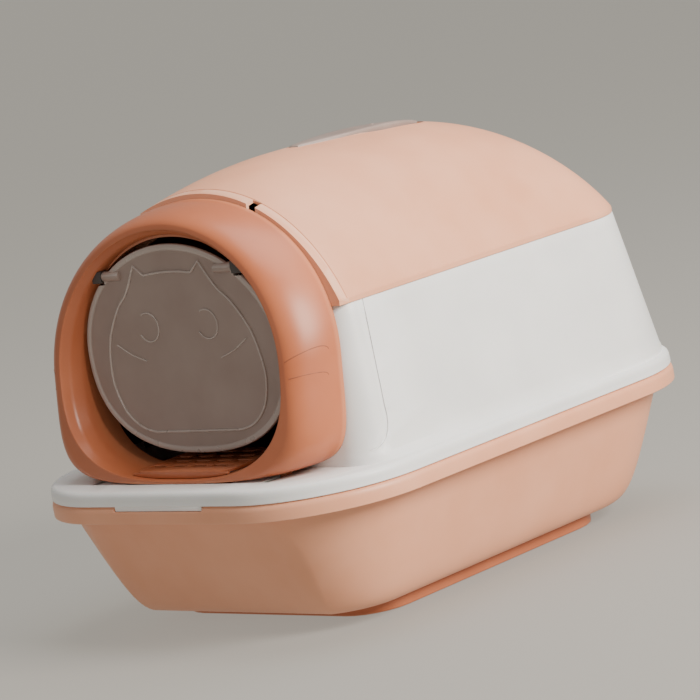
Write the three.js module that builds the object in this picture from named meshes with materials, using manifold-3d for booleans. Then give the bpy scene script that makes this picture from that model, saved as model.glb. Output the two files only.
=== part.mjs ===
// A hooded cat litter box, standing on the floor with its door towards -Y.
// Millimetres, +Z up, origin at the middle of the floor under it.
import * as THREE from "three";
import { mergeVertices } from "three/addons/utils/BufferGeometryUtils.js";
import Module from "manifold-3d";

const wasm = await Module();
wasm.setup();

// Driving dimensions
const width = 400; // over the rolled rim of the tray
const length = 520; // over the rolled rim of the tray
const rimZ = 125; // top of the tray's rim
const seamZ = 267; // where the hood sits on the middle shell
const hoodRise = 115; // crown of the hood above the seam
const wall = 3; // moulded wall thickness
const gap = 0.3; // between pieces that touch
const lean = 0.15; // how far the entrance leans back for each mm of height
const faceY = -165; // entrance face of the shell and the hood, at the height of the seam
const ringDepth = 48; // from the entrance face forward to the ring's front edge
const cornerSteps = 6; // flat stretches in each rounded corner
const doorSteps = 48; // flat stretches around the door opening

const peach = 0xe8c0a4;
const terracotta = 0xcd8769;
const offWhite = 0xe6e6e2;
const smoke = 0x7d6d66;
const darkGrey = 0x3b3836;

const litterBox = new THREE.Group();

// One named piece with its own moulded-plastic material.
function addPiece(name, geometry, color, roughness) {
  geometry.deleteAttribute("uv");
  geometry.computeVertexNormals();
  const material = new THREE.MeshStandardMaterial({ color, roughness, metalness: 0 });
  const mesh = new THREE.Mesh(geometry, material);
  mesh.name = name;
  litterBox.add(mesh);
  return mesh;
}

// A closed geometry as a solid that can be joined and cut.
function solidOf(geometry) {
  const plain = geometry.clone();
  plain.deleteAttribute("normal");
  plain.deleteAttribute("uv");
  const merged = mergeVertices(plain, 1e-4);
  return new wasm.Manifold(
    new wasm.Mesh({
      numProp: 3,
      vertProperties: new Float32Array(merged.attributes.position.array),
      triVerts: new Uint32Array(merged.index.array),
    }),
  );
}

// A solid back as a geometry.
function geometryOf(solid) {
  const mesh = solid.getMesh();
  const geometry = new THREE.BufferGeometry();
  geometry.setAttribute("position", new THREE.BufferAttribute(mesh.vertProperties, 3));
  geometry.setIndex(new THREE.BufferAttribute(mesh.triVerts, 1));
  return geometry.toNonIndexed();
}

// A block given by its lowest and highest corner.
function block(low, high) {
  const size = high.map((value, k) => value - low[k]);
  const geometry = new THREE.BoxGeometry(...size);
  geometry.translate(...low.map((value, k) => value + size[k] / 2));
  return solidOf(geometry);
}

// A round bar along X between two places.
function barX(radius, x0, x1, y, z) {
  const geometry = new THREE.CylinderGeometry(radius, radius, Math.abs(x1 - x0), 20);
  geometry.rotateZ(Math.PI / 2);
  geometry.translate((x0 + x1) / 2, y, z);
  return solidOf(geometry);
}

// A round bar along Y between two places.
function barY(radius, y0, y1, z, sides) {
  const geometry = new THREE.CylinderGeometry(radius, radius, y1 - y0, sides);
  geometry.translate(0, (y0 + y1) / 2, z);
  return solidOf(geometry);
}

// Joins one closed outline to the next. Each station is a list of points, all of one length,
// and the list of stations runs up the outside and down the inside.
function loft(stations) {
  const count = stations[0].length;
  const profile = stations.map((_, j) => new THREE.Vector2(1, j));
  const geometry = new THREE.LatheGeometry(profile, count);
  const position = geometry.attributes.position;
  for (let i = 0; i <= count; i += 1) {
    stations.forEach((points, j) => {
      const p = points[i % count];
      position.setXYZ(i * stations.length + j, p.x, p.y, p.z);
    });
  }
  return geometry;
}

// A rounded rectangle seen from above, anticlockwise, at height z. Its half width may differ
// from the front corners to the back ones, and inset moves every side inwards.
function ringAt(shape, z, inset = 0) {
  const front = shape.front + inset;
  const back = shape.back - inset;
  const frontHalf = (shape.frontHalf ?? shape.half) - inset;
  const backHalf = (shape.backHalf ?? shape.half) - inset;
  const frontRadius = Math.max(shape.frontRadius - inset, 2);
  const backRadius = Math.max(shape.backRadius - inset, 2);
  const corners = [
    [frontHalf - frontRadius, front + frontRadius, frontRadius, -0.5],
    [backHalf - backRadius, back - backRadius, backRadius, 0],
    [backRadius - backHalf, back - backRadius, backRadius, 0.5],
    [frontRadius - frontHalf, front + frontRadius, frontRadius, 1],
  ];
  return corners.flatMap(([cx, cy, radius, start]) =>
    Array.from({ length: cornerSteps + 1 }, (_, k) => {
      const angle = (start + (0.5 * k) / cornerSteps) * Math.PI;
      return new THREE.Vector3(cx + radius * Math.cos(angle), cy + radius * Math.sin(angle), z);
    }),
  );
}

// All points of a station in one place, which closes a loft.
function pole(count, x, y, z) {
  return Array.from({ length: count }, () => new THREE.Vector3(x, y, z));
}
const outlineCount = 4 * (cornerSteps + 1);

const mix = (a, b, t) => a + (b - a) * t;

// Between two rounded rectangles.
function between(low, high, t) {
  const shape = {};
  Object.keys(low).forEach((key) => {
    shape[key] = mix(low[key], high[key], t);
  });
  return shape;
}

// Tray and the plate that it stands on
const plateHeight = 12;
const lipWidth = 13;
const lipDrop = 15;
const rim = {
  half: width / 2,
  front: -length / 2,
  back: length / 2,
  frontRadius: 109,
  backRadius: 109,
};
const trayFoot = { half: 126, front: -180, back: 185, frontRadius: 42, backRadius: 60 };
const trayTop = {
  half: width / 2 - lipWidth,
  front: -length / 2 + lipWidth,
  back: length / 2 - lipWidth,
  frontRadius: 96,
  backRadius: 96,
};
const notchHalf = 54;
const notchDepth = 4;

function makeTray() {
  const lipUnder = rimZ - 5;
  // How far out the wall is, from the foot to the rim, and how high.
  const wallCurve = [
    [0, 0],
    [0.24, 0.03],
    [0.4, 0.11],
    [0.5, 0.23],
    [0.64, 0.45],
    [0.81, 0.72],
    [1, 1],
  ];
  const wallAt = (t, rise, inset, lift) =>
    ringAt(between(trayFoot, trayTop, t), mix(plateHeight, lipUnder, rise) + lift, inset);
  const outside = wallCurve.map(([t, rise]) => wallAt(t, rise, 0, 0));
  const inside = wallCurve.map(([t, rise]) => wallAt(t, rise, wall, (1 - rise) * wall));
  const lip = [
    ringAt(rim, lipUnder + 1, wall),
    ringAt(rim, rimZ - lipDrop, wall),
    ringAt(rim, rimZ - lipDrop),
    ringAt(rim, rimZ - 4),
    ringAt(rim, rimZ - 1, 1.2),
    ringAt(rim, rimZ, 3.6),
    ringAt(rim, rimZ, lipWidth),
    ringAt(rim, rimZ - 1.5, lipWidth + 2.4),
  ];
  const tray = solidOf(
    loft([
      pole(outlineCount, 0, 0, plateHeight),
      ...outside,
      ...lip,
      ...inside.reverse(),
      pole(outlineCount, 0, 0, plateHeight + wall),
    ]),
  );
  const notch = block(
    [-notchHalf, rim.front - 5, rimZ - notchDepth],
    [notchHalf, rim.front + lipWidth + wall + 1, rimZ + 5],
  );
  addPiece("litter_tray", geometryOf(tray.subtract(notch)), peach, 0.45);
}

function makeBasePlate() {
  const plate = { half: 126, front: -155, back: 155, frontRadius: 40, backRadius: 40 };
  const footWidth = 10;
  const stations = [
    pole(outlineCount, 0, 0, plateHeight - gap - wall),
    ringAt(plate, plateHeight - gap - wall, footWidth),
    ringAt(plate, 0, footWidth),
    ringAt(plate, 0, 1),
    ringAt(plate, 1),
    ringAt(plate, plateHeight - gap),
    pole(outlineCount, 0, 0, plateHeight - gap),
  ];
  addPiece("base_plate", loft(stations), terracotta, 0.6);
}

// Middle shell: the white walls between the tray and the hood, with a low deck in front
const deckZ = 137.5;
const leanAt = (z) => lean * (z - seamZ);
const shellFoot = { half: 199, front: -259, back: 259, frontRadius: 108, backRadius: 108 };
const seam = {
  frontHalf: 163,
  backHalf: 168,
  front: faceY,
  back: 230,
  frontRadius: 20,
  backRadius: 70,
};
const archRadius = 131; // the round hole behind the ring, in the shell and the hood
const archZ = 212;
const archFront = faceY - 60; // the hole's cutter runs from here ...
const archBack = faceY + 26; // ... to here, past both leaning faces
const pegX = 104; // the two pegs that locate the ring on the deck
const pegY = -205;
const pegHalf = 3.5;
const pegPlay = 0.6;
const ringTravel = 22; // the pegs slide forward this far in their slots
const chuteHalf = 70; // the trough under the holes of the step
const chuteY0 = -236;
const chuteY1 = -190;

// The walls of the middle shell at a height above the deck.
function shellWall(z, inset) {
  const low = {
    frontHalf: 184,
    backHalf: 192,
    front: faceY + leanAt(deckZ),
    back: 255,
    frontRadius: 30,
    backRadius: 102,
  };
  const t = (z - deckZ) / (seamZ - deckZ);
  return ringAt(between(low, seam, t), z, inset);
}

function makeMiddleShell() {
  const skirt = 8; // goes down inside the tray's rim
  const skirtInset = 19;
  const rimWidth = 8;
  const foot = rimZ + gap;
  const shelf = {
    half: 193.5,
    front: faceY + leanAt(deckZ),
    back: 254.3,
    frontRadius: 40,
    backRadius: 103,
  };
  const shell = solidOf(
    loft([
      ringAt(shellFoot, foot - skirt, skirtInset + wall),
      ringAt(shellFoot, foot - skirt, skirtInset),
      ringAt(shellFoot, foot, skirtInset - 1),
      ringAt(shellFoot, foot),
      ringAt(shellFoot, deckZ - 3.5, 0.6),
      ringAt(shellFoot, deckZ - 1, 1.8),
      ringAt(shellFoot, deckZ, 4.5),
      ringAt(shelf, deckZ),
      shellWall(deckZ + 7, 0),
      shellWall(seamZ, 0),
      shellWall(seamZ, rimWidth),
      shellWall(seamZ - 3, rimWidth),
      shellWall(seamZ - 6, wall),
      shellWall(deckZ + 5, wall),
      ringAt(shelf, deckZ - wall, wall + 1),
      ringAt(shellFoot, deckZ - wall, skirtInset - wall),
      ringAt(shellFoot, foot, skirtInset + wall),
      ringAt(shellFoot, foot - skirt, skirtInset + wall),
    ]),
  );
  const deckTop = deckZ + 1;
  const bore = barY(archRadius, archFront, archBack, archZ, doorSteps);
  const underDeck = block([-width, -length, 0], [width, 0, deckTop]);
  const rest = 4; // of the deck, left around the hole over the chute
  const litterHole = block(
    [-chuteHalf + rest, chuteY0 + rest, 0],
    [chuteHalf - rest, chuteY1 - rest, deckTop],
  );
  const pegHoles = [-1, 1].map((side) =>
    block(
      [side * pegX - pegHalf - pegPlay, pegY - ringTravel - pegHalf - pegPlay, 0],
      [side * pegX + pegHalf + pegPlay, pegY + pegHalf + pegPlay, deckTop],
    ),
  );
  const tab = block(
    [-notchHalf + 1, shellFoot.front + 0.5, rimZ - notchDepth + gap],
    [notchHalf - 1, shellFoot.front + 5, deckZ - wall],
  );
  const made = [litterHole, ...pegHoles].reduce(
    (kept, cut) => kept.subtract(cut),
    shell.subtract(bore.subtract(underDeck)).add(tab),
  );
  addPiece("middle_shell", geometryOf(made.add(makeChute())), offWhite, 0.4);
}

// A half-round trough open at both ends and at the top, under the holes of the step.
function makeChute() {
  const trough = new THREE.Shape();
  const drop = 16;
  trough.absellipse(0, 0, chuteHalf, drop, Math.PI, 2 * Math.PI, false);
  trough.absellipse(0, 0, chuteHalf - wall, drop - wall, 2 * Math.PI, Math.PI, true);
  const geometry = new THREE.ExtrudeGeometry(trough, {
    depth: chuteY1 - chuteY0,
    bevelEnabled: false,
    curveSegments: 12,
  });
  geometry.rotateX(Math.PI / 2);
  geometry.translate(0, chuteY1, deckZ - wall + 0.5);
  return solidOf(geometry);
}

// The entrance ring's outlines, as seen from the front: half an ellipse above centreZ and
// a rounder, flatter curve below it.
const opening = { half: 134, top: 118, bottom: 89.5, centreZ: 230, power: 2.8 };
const tunnel = { half: 126, top: 113, bottom: 86.5, centreZ: 227, power: 2.8 };
const outer = { half: 160, top: 133, bottom: 93.2, centreZ: 231, power: 6 };
const ringFrontY = faceY - ringDepth;

// Points of such an outline at a depth behind the ring's leaning front edge.
function doorLine(shape, depth, grow = 0) {
  return Array.from({ length: doorSteps }, (_, k) => {
    const angle = (k / doorSteps) * 2 * Math.PI;
    const cos = Math.cos(angle);
    const sin = Math.sin(angle);
    const power = 2 / (sin < -1e-9 ? shape.power : 2);
    const x = (shape.half + grow) * Math.sign(cos) * Math.abs(cos) ** power;
    const tall = sin < 0 ? shape.bottom : shape.top;
    const z = shape.centreZ + (tall + grow) * Math.sign(sin) * Math.abs(sin) ** power;
    return new THREE.Vector3(x, ringFrontY + leanAt(z) + depth, z);
  });
}

// A solid plug through several such outlines, from front to back.
function plug(lines) {
  const middle = (points) => {
    const z = points[0].z;
    return pole(doorSteps, 0, points[0].y, z);
  };
  const last = lines[lines.length - 1];
  return solidOf(loft([middle(last), ...[...lines].reverse(), middle(lines[0])]));
}

const pinZ = 311;
const pinY = -193.5;
const bracket = { near: 79.8, far: 91, halfY: 4.5, halfZ: 5 };

function bracketBlock(side, grow) {
  const [x0, x1] = [side * (bracket.near - grow), side * (bracket.far + grow)].sort((a, b) => a - b);
  return block(
    [x0, pinY - bracket.halfY - grow, pinZ - bracket.halfZ - grow],
    [x1, pinY + bracket.halfY + grow, pinZ + bracket.halfZ + grow],
  );
}

// The ring's outside swells from the front edge back to the entrance face, and its lower
// corners turn square close behind the front edge.
function swell(grow, setBack) {
  const edge = 2.6; // thickness of the front edge
  return [0, 0.12, 0.28, 0.48, 0.7, 0.88, 0.97, 1].map((t) =>
    doorLine(
      { ...between(opening, outer, t), power: mix(opening.power, outer.power, Math.sqrt(t)) },
      ringDepth * (1 - Math.sqrt(1 - t * t)) + setBack,
      edge * (1 - t) + grow,
    ),
  );
}

// The way through the ring, narrowing from its front edge to the flap.
function passage(grow) {
  return [
    doorLine(opening, -10, grow),
    doorLine(opening, 0, grow),
    doorLine(between(opening, tunnel, 0.6), 7, grow),
    doorLine(tunnel, 17, grow),
    doorLine(tunnel, ringDepth + 20, grow),
  ];
}

function makeEntranceRing() {
  const shelled = plug(swell(0, -gap)).subtract(plug(swell(-wall, wall)).subtract(plug(passage(wall))));
  // Above the flap's shoulders the inner wall stops at the pins, so that the flap swings in.
  const shoulder = { z: pinZ - 45, y: pinY + 4 };
  const upperBack = block([-width, shoulder.y, shoulder.z], [width, 0, 2 * pinZ]).intersect(
    plug(passage(wall + 0.05)),
  );
  const windowHalf = stepHalf - 6;
  const stepWindow = block([-windowHalf, stepY0 + 8, 0], [windowHalf, stepY1, stepZ - 1]);
  let ring = shelled.subtract(plug(passage(0))).subtract(upperBack).subtract(stepWindow);
  [-1, 1].forEach((side) => {
    const peg = block(
      [side * pegX - pegHalf, pegY - pegHalf, deckZ - 6],
      [side * pegX + pegHalf, pegY + pegHalf, deckZ + 12],
    );
    ring = ring.add(peg).subtract(bracketBlock(side, gap));
  });
  addPiece("entrance_ring", geometryOf(ring), terracotta, 0.42);
}

// The step inside the door, with rows of long holes that let litter fall back into the tray.
const stepY0 = -226;
const stepY1 = -146;
const stepHalf = 58;
const stepZ = 144.6;

function makeStep() {
  const plate = { half: stepHalf, front: stepY0, back: stepY1, frontRadius: 14, backRadius: 6 };
  const thickness = 2.6;
  const slot = { long: 18, wide: 6, pitchX: 25, pitchY: 15, rows: 4, columns: 4 };
  const base = loft([
    pole(outlineCount, 0, stepY0 + 20, stepZ),
    ringAt(plate, stepZ),
    ringAt(plate, stepZ + thickness),
    pole(outlineCount, 0, stepY0 + 20, stepZ + thickness),
  ]);
  const skirt = block(
    [-stepHalf, stepY0, stepZ - 10],
    [stepHalf, stepY0 + thickness, stepZ + thickness / 2],
  ).intersect(plug(passage(-gap)));
  let step = solidOf(base).add(skirt);
  for (let row = 0; row < slot.rows; row += 1) {
    for (let column = 0; column < slot.columns; column += 1) {
      const stagger = row % 2 ? slot.pitchX / 4 : -slot.pitchX / 4;
      const x = (column - (slot.columns - 1) / 2) * slot.pitchX + stagger;
      const y = stepY0 + 18 + row * slot.pitchY;
      const half = [slot.long / 2, slot.wide / 2];
      step = step.subtract(
        block([x - half[0], y - half[1], stepZ - 1], [x + half[0], y + half[1], stepZ + 5]),
      );
    }
  }
  addPiece("step_grille", geometryOf(step), terracotta, 0.5);
}

// Hood: a dome over the seam, open below and towards the entrance
const hoodZ = seamZ + gap;
const hoodLip = 4; // upright edge under the dome
const domeSteps = 22; // flat stretches across the dome and along it
const domeOverrun = 30; // of the dome in front of the entrance face, cut off afterwards
const archHalfAngle = (62 * Math.PI) / 180; // of the circle that the front arch is part of
const frontRise = 97; // of the arch, above the seam

// The dome's height above the seam, and its half width, at a distance along the object.
function riseAt(y) {
  const crownY = -30;
  if (y < crownY) {
    return hoodRise - (hoodRise - frontRise) * ((crownY - y) / (crownY - faceY)) ** 2;
  }
  return hoodRise * (1 - Math.min((y - crownY) / (seam.back - crownY), 1) ** 4.4) ** 0.52;
}
function halfAt(y) {
  const cornerY = seam.back - seam.backRadius;
  const straight = mix(seam.frontHalf, seam.backHalf, (y - faceY) / (cornerY - faceY));
  if (y < cornerY) return straight;
  const turn = Math.sqrt(Math.max(seam.backRadius ** 2 - (y - cornerY) ** 2, 0));
  return seam.backHalf - seam.backRadius + turn;
}

// The dome as a solid, shrunk by inset on every side and standing on the height base.
function dome(inset, base) {
  const cos = Math.cos(archHalfAngle);
  const sin = Math.sin(archHalfAngle);
  const section = new THREE.Shape();
  section.moveTo(-1, -1);
  section.lineTo(1, -1);
  section.lineTo(1, 0);
  const [start, end] = [Math.PI / 2 - archHalfAngle, Math.PI / 2 + archHalfAngle];
  section.absellipse(0, -cos / (1 - cos), 1 / sin, 1 / (1 - cos), start, end, false);
  const geometry = new THREE.ExtrudeGeometry(section, {
    depth: 1,
    steps: domeSteps,
    curveSegments: domeSteps,
    bevelEnabled: false,
  });
  const domeLength = seam.back - faceY + domeOverrun;
  const position = geometry.attributes.position;
  for (let i = 0; i < position.count; i += 1) {
    const along = seam.back - domeLength * (1 - Math.cos((position.getZ(i) * Math.PI) / 2));
    const x = position.getX(i) * (halfAt(along) - inset);
    const up = position.getY(i);
    const lifted = hoodZ + hoodLip + up * Math.max(riseAt(along) - hoodLip - inset, 0);
    position.setXYZ(i, x, along - (along > 0 ? inset : 0), up < -0.5 ? base : lifted);
  }
  return solidOf(geometry);
}

// A block whose face towards +Y follows the leaning entrance face, reaching y0 in front of it.
function leaningBlock(y0, y1) {
  const geometry = new THREE.BoxGeometry(2 * width, y1 - y0, width);
  geometry.translate(0, (y0 + y1) / 2, seamZ);
  const position = geometry.attributes.position;
  for (let i = 0; i < position.count; i += 1) {
    position.setY(i, position.getY(i) + leanAt(position.getZ(i)));
  }
  return solidOf(geometry);
}

// Handle: a long leaf-shaped plate lying in a recess along the crown
const handle = { y0: -20, y1: 136, half: 21.5, tipHalf: 6, thick: 9, proud: 1.8 };

// The leaf outline seen from above, grown by a margin, extruded from z0 to z1.
function leaf(grow, z0, z1) {
  const tip = handle.tipHalf + grow;
  const bulge = 2 * (handle.half + grow) - tip; // where the curve's control point lies
  const [y0, y1] = [handle.y0 - grow, handle.y1 + grow];
  const outline = new THREE.Shape();
  outline.moveTo(-tip, y0);
  outline.lineTo(tip, y0);
  outline.quadraticCurveTo(bulge, (y0 + y1) / 2, tip, y1);
  outline.lineTo(-tip, y1);
  outline.quadraticCurveTo(-bulge, (y0 + y1) / 2, -tip, y0);
  const geometry = new THREE.ExtrudeGeometry(outline, {
    depth: z1 - z0,
    curveSegments: 14,
    bevelEnabled: false,
  });
  geometry.translate(0, 0, z0);
  return geometry;
}

function crownZ(y) {
  return hoodZ + riseAt(y);
}

// A leaf-shaped solid that follows the crown, between two heights measured from it.
function leafOnCrown(grow, below, above) {
  const geometry = leaf(grow, below, above);
  const position = geometry.attributes.position;
  for (let i = 0; i < position.count; i += 1) {
    position.setZ(i, position.getZ(i) + crownZ(position.getY(i)));
  }
  return solidOf(geometry);
}

const pocket = { z: 352, y0: 46, y1: 122, grow: 10 };

// The leaf between two places along the object, which the fingers reach into beside the handle.
function fingerPocket(grow, skin) {
  const high = 60; // well above the crown
  return solidOf(leaf(grow, pocket.z - skin, pocket.z + high)).intersect(
    block([-width, pocket.y0 - skin, pocket.z - skin], [width, pocket.y1 + skin, 2 * pocket.z]),
  );
}
function makeHood() {
  const flange = { depth: 10.6, thick: 3, setBack: 0.5 };
  const tab = { half: 6, drop: 7, thick: 2.4, places: [-100, 10, 120] };
  const seatDepth = handle.thick - handle.proud + gap;
  const play = 1.2; // around the handle in its recess
  const open = 40;
  const outside = dome(0, hoodZ);
  const inside = dome(wall, hoodZ - 1)
    .subtract(fingerPocket(pocket.grow + wall, wall))
    .subtract(leafOnCrown(play + wall, -seatDepth - wall, open));
  const edge = solidOf(
    loft([
      ringAt(seam, hoodZ, flange.depth),
      ringAt(seam, hoodZ, flange.setBack),
      ringAt(seam, hoodZ + flange.thick, flange.setBack),
      ringAt(seam, hoodZ + flange.thick, flange.depth),
      ringAt(seam, hoodZ, flange.depth),
    ]),
  );
  const band = outside.intersect(leaningBlock(faceY - 1, faceY + wall));
  const tabs = [-1, 1].flatMap((side) =>
    tab.places.map((y) => {
      const x = halfAt(y) - flange.depth + 1;
      const [x0, x1] = [side * x, side * (x - tab.thick)].sort((a, b) => a - b);
      return block([x0, y - tab.half, hoodZ - tab.drop], [x1, y + tab.half, hoodZ + 1]);
    }),
  );
  const latchSlot = block([-5, pocket.y0 - 6, pocket.z - 12], [5, pocket.y0 - 2, 2 * pocket.z]);
  const cuts = [
    leaningBlock(-2 * width, faceY),
    barY(archRadius, archFront, archBack, archZ, doorSteps),
    fingerPocket(pocket.grow, 0),
    leafOnCrown(play, -seatDepth, open),
    latchSlot,
  ];
  const joined = tabs.reduce((kept, added) => kept.add(added), outside.subtract(inside).add(edge));
  const hood = cuts.reduce((kept, cut) => kept.subtract(cut), joined.add(band));
  addPiece("hood", geometryOf(hood), peach, 0.42);
}

function makeHandle() {
  const plate = leafOnCrown(0, handle.proud + gap - handle.thick, handle.proud);
  addPiece("carry_handle", geometryOf(plate), smoke, 0.25);
}

// Flap: a thin smoky plate that hangs from two pins
const flap = { half: 119, top: 24, bottom: 84, wideBelowPins: 72, power: 2.38, thick: 4 };
const flapSteps = 40; // flat stretches around the flap
const pinRadius = 2.2;
const pinStart = 63.4;
const sleeve = { radius: 4.5, start: 58, end: 79.2, bore: 63 };
const clearanceRadius = 7.5; // of the notch in the flap around each bracket

function makeFlap() {
  const shape = new THREE.Shape();
  const rise = flap.top + flap.wideBelowPins;
  for (let k = 0; k < flapSteps; k += 1) {
    const angle = (k / flapSteps) * 2 * Math.PI;
    const [cos, sin] = [Math.cos(angle), Math.sin(angle)];
    const power = 2 / (sin < -1e-9 ? flap.power : 2);
    const x = flap.half * Math.sign(cos) * Math.abs(cos) ** power;
    const z = (sin < 0 ? flap.bottom : rise) * Math.sign(sin) * Math.abs(sin) ** power;
    if (k === 0) shape.moveTo(x, z);
    else shape.lineTo(x, z);
  }
  const geometry = new THREE.ExtrudeGeometry(shape, { depth: flap.thick, bevelEnabled: false });
  geometry.rotateX(Math.PI / 2);
  geometry.translate(0, pinY + flap.thick / 2, pinZ - flap.wideBelowPins);
  let plate = solidOf(geometry);
  [-1, 1].forEach((side) => {
    const clearance = barX(clearanceRadius, side * sleeve.end, side * (bracket.far + 9), pinY, pinZ);
    const tube = barX(sleeve.radius, side * sleeve.start, side * sleeve.end, pinY, pinZ);
    const bore = barX(pinRadius + gap, side * sleeve.bore, side * (sleeve.end + 1), pinY, pinZ);
    plate = plate.subtract(clearance).add(tube).subtract(bore);
  });
  addPiece("door_flap", geometryOf(plate), smoke, 0.3);
}

function makeHinges() {
  [
    ["left", -1],
    ["right", 1],
  ].forEach(([label, side]) => {
    const pin = barX(pinRadius, side * pinStart, side * (bracket.far - 2), pinY, pinZ);
    const bore = barX(pinRadius + gap, side * sleeve.end, side * (bracket.far - 1.5), pinY, pinZ);
    addPiece("hinge_pin_" + label, geometryOf(pin), darkGrey, 0.35);
    const holder = bracketBlock(side, 0).subtract(bore);
    addPiece("pin_bracket_" + label, geometryOf(holder), darkGrey, 0.5);
  });
}

makeTray();
makeBasePlate();
makeMiddleShell();
makeEntranceRing();
makeStep();
makeHood();
makeHandle();
makeFlap();
makeHinges();

export default litterBox;
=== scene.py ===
import math

import bpy
import numpy as np
from mathutils import Matrix, Vector


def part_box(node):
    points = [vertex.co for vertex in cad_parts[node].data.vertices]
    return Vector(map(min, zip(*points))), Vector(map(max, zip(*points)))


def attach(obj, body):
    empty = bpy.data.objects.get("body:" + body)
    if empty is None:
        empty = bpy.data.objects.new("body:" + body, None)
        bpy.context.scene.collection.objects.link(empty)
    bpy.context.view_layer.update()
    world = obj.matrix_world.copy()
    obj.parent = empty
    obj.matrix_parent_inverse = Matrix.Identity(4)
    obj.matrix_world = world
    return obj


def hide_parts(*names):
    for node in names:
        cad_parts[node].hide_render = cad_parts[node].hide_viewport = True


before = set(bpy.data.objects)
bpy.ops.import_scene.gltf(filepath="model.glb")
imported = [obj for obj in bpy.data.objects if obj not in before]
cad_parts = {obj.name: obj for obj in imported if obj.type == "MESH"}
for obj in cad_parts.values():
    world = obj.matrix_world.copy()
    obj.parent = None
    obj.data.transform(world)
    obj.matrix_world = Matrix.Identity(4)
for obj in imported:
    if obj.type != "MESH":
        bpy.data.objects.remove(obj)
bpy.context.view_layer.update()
mm = 0.001
gap = 0.3  # mm, between pieces that touch


def mix(a, b, t):
    return a + (b - a) * t


def boxOf(node):
    low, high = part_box(node)
    return [value / mm for value in low], [value / mm for value in high]


# Modelling helpers take sizes in mm.
def deselectAll():
    if bpy.context.object and bpy.context.object.mode != "OBJECT":
        bpy.ops.object.mode_set(mode="OBJECT")
    bpy.ops.object.select_all(action="DESELECT")


def pick(piece):
    deselectAll()
    piece.select_set(True)
    bpy.context.view_layer.objects.active = piece


def finishWith(piece, kind, **settings):
    pick(piece)
    modifier = piece.modifiers.new(kind.title(), kind)
    for key, value in settings.items():
        setattr(modifier, key, value)
    bpy.ops.object.modifier_apply(modifier=modifier.name)


def combine(piece, tools, how="DIFFERENCE", folds=False):
    for tool in tools:
        finishWith(piece, "BOOLEAN", object=tool, operation=how, solver="EXACT", use_self=folds)
        bpy.data.objects.remove(tool)
    return piece


def softenEdges(piece, width, angle=35, segments=2):
    finishWith(
        piece, "BEVEL", width=width * mm, segments=segments, limit_method="ANGLE",
        angle_limit=math.radians(angle), use_clamp_overlap=True, miter_outer="MITER_ARC",
    )
    return piece


def smooth(piece, angle=35):
    pick(piece)
    bpy.ops.object.shade_smooth_by_angle(angle=math.radians(angle))
    return piece


def fixNormals(piece):
    pick(piece)
    bpy.ops.object.mode_set(mode="EDIT")
    bpy.ops.mesh.select_all(action="SELECT")
    bpy.ops.mesh.remove_doubles(threshold=1e-6)
    bpy.ops.mesh.dissolve_degenerate(threshold=1e-7)
    bpy.ops.mesh.normals_make_consistent(inside=False)
    bpy.ops.object.mode_set(mode="OBJECT")
    return piece


# A grid laid on rows of points; around closes each row, loop joins the last row to the first.
def skin(name, rows, around=True, loop=False):
    rows = [list(row) + [row[0]] if around else list(row) for row in rows]
    rows = rows + [rows[0]] if loop else rows
    across, along = len(rows[0]) - 1, len(rows) - 1
    deselectAll()
    bpy.ops.mesh.primitive_grid_add(x_subdivisions=across, y_subdivisions=along, size=2)
    piece = bpy.context.object
    piece.name = name
    for vertex in piece.data.vertices:
        column = round((vertex.co.x + 1) / 2 * across)
        row = round((vertex.co.y + 1) / 2 * along)
        vertex.co = Vector(rows[row][column]) * mm
    return fixNormals(piece)


def block(name, low, high, edge=0.0):
    deselectAll()
    size = [b - a for a, b in zip(low, high)]
    middle = [(a + b) / 2 * mm for a, b in zip(low, high)]
    bpy.ops.mesh.primitive_cube_add(size=1, location=middle, scale=[s * mm for s in size])
    piece = bpy.context.object
    piece.name = name
    bpy.ops.object.transform_apply(location=True, rotation=True, scale=True)
    return softenEdges(piece, edge) if edge else piece


def bar(name, radius, start, end, sides=48):
    start, end = Vector(start), Vector(end)
    turn = (end - start).to_track_quat("Z", "Y")
    deselectAll()
    bpy.ops.mesh.primitive_cylinder_add(
        vertices=sides, radius=radius * mm, depth=(end - start).length * mm,
        location=(start + end) / 2 * mm, rotation=turn.to_euler(),
    )
    piece = bpy.context.object
    piece.name = name
    bpy.ops.object.transform_apply(location=True, rotation=True, scale=True)
    return piece


# A round cord of plastic or of empty space along points, for raised lines and grooves.
def bead(name, points, radius, closed=False, roundness=3):
    curve = bpy.data.curves.new(name, "CURVE")
    curve.dimensions = "3D"
    curve.bevel_depth = radius * mm
    curve.bevel_resolution = roundness
    curve.use_fill_caps = not closed
    spline = curve.splines.new("POLY")
    spline.points.add(len(points) - 1)
    for place, point in zip(spline.points, points):
        place.co = (*[value * mm for value in point], 1)
    spline.use_cyclic_u = closed
    made = bpy.data.objects.new(name, curve)
    bpy.context.collection.objects.link(made)
    pick(made)
    bpy.ops.object.convert(target="MESH")
    return fixNormals(bpy.context.object)


# A rounded path through a few points.
def rounded(points, steps=8, closed=False):
    points = [Vector(p) for p in points]
    count = len(points)
    path = []
    for k in range(count if closed else count - 1):
        near = [points[(k + d) % count] if closed else points[min(max(k + d, 0), count - 1)]
                for d in (-1, 0, 1, 2)]
        for t in np.linspace(0, 1, steps, endpoint=False):
            a, b, c, d = near
            path.append(0.5 * (2 * b + (c - a) * t + (2 * a - 5 * b + 4 * c - d) * t * t
                               + (3 * b - a - 3 * c + d) * t ** 3))
    return path if closed else path + [points[-1]]


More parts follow.
